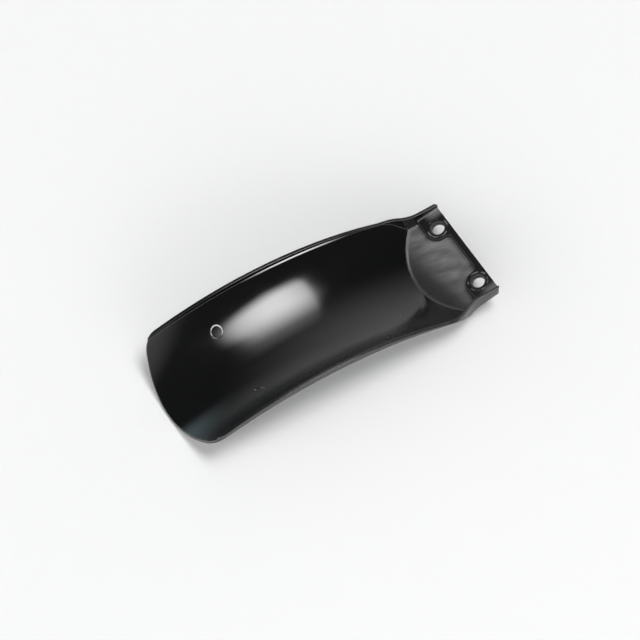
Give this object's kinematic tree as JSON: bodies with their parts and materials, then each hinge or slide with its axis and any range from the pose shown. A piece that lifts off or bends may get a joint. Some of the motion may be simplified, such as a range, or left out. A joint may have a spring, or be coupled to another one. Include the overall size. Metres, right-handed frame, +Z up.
{
  "type": "motorcycle shock mud flap",
  "caption": "Moulded plastic mud flap for a motorcycle's rear shock: an arched, saddle shaped trough that narrows to a sloping seat and a flange with screw holes.",
  "frame": {"origin": "on the table the flap lies on, under the middle of its box", "axes": "+X along the flap towards the flange end, +Y across the flap, +Z up out of the trough"},
  "size_m": [0.238, 0.096, 0.041],
  "materials": {
    "black_plastic": "semi-gloss moulded black"
  },
  "bodies": {
    "root": {"mud_flap": "black_plastic"}
  },
  "joints": []
}
